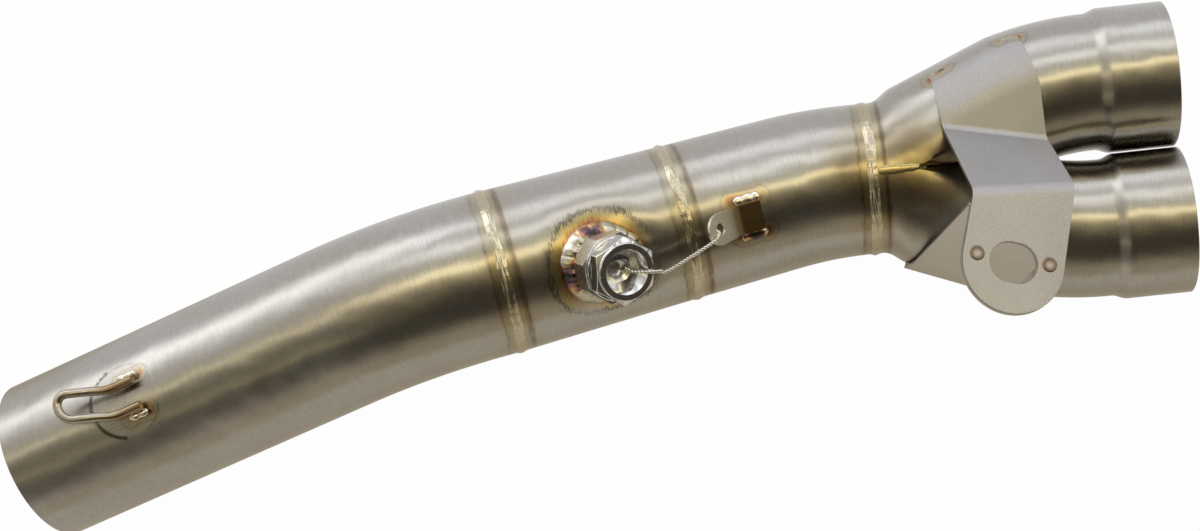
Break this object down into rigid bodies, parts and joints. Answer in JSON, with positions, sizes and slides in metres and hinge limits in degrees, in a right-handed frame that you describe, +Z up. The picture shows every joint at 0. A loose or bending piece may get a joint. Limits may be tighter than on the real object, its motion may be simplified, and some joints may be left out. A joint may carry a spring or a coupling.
{
  "type": "exhaust link pipe",
  "caption": "Bent steel exhaust pipe: two slip sockets merge through a collector into one tube, with a hanger bracket, a plugged sensor boss and a spring hook.",
  "frame": {"origin": "bottom centre of the bounding box, with the pipe lying on its three rims", "axes": "+X from the outlet to the two sockets, +Y across them, +Z up"},
  "size_m": [0.4772, 0.1656, 0.1035],
  "materials": {
    "tube_steel": "brushed along the tube, straw tint by the welds",
    "weld_bead": "bright rippled bead with a straw and brown tint",
    "bracket_sheet": "dull fine-grained sheet",
    "turned_steel": "bright turned",
    "lock_wire": "bright drawn wire"
  },
  "bodies": {
    "root": {"outlet_tube": "tube_steel", "sensor_tube": "tube_steel", "front_tube": "tube_steel", "upper_branch": "tube_steel", "lower_branch": "tube_steel", "hook_pad": "tube_steel", "spring_hook": "tube_steel", "weld_outlet": "weld_bead", "weld_middle": "weld_bead", "weld_collector": "weld_bead", "merge_weld_top": "weld_bead", "merge_weld_bottom": "weld_bead", "weld_bung": "weld_bead", "tab_weld_upper": "weld_bead", "tab_weld_lower": "weld_bead", "hook_weld_upper": "weld_bead", "hook_weld_lower": "weld_bead", "strap_weld_rear": "weld_bead", "strap_weld_front": "weld_bead", "leg_weld_rear": "weld_bead", "leg_weld_front": "weld_bead", "bracket_upper_strap": "bracket_sheet", "bracket_lower_strap": "bracket_sheet", "lock_wire_tab": "bracket_sheet", "sensor_bung": "turned_steel", "sensor_plug": "turned_steel", "plug_washer": "turned_steel", "lock_wire": "lock_wire"}
  },
  "joints": []
}
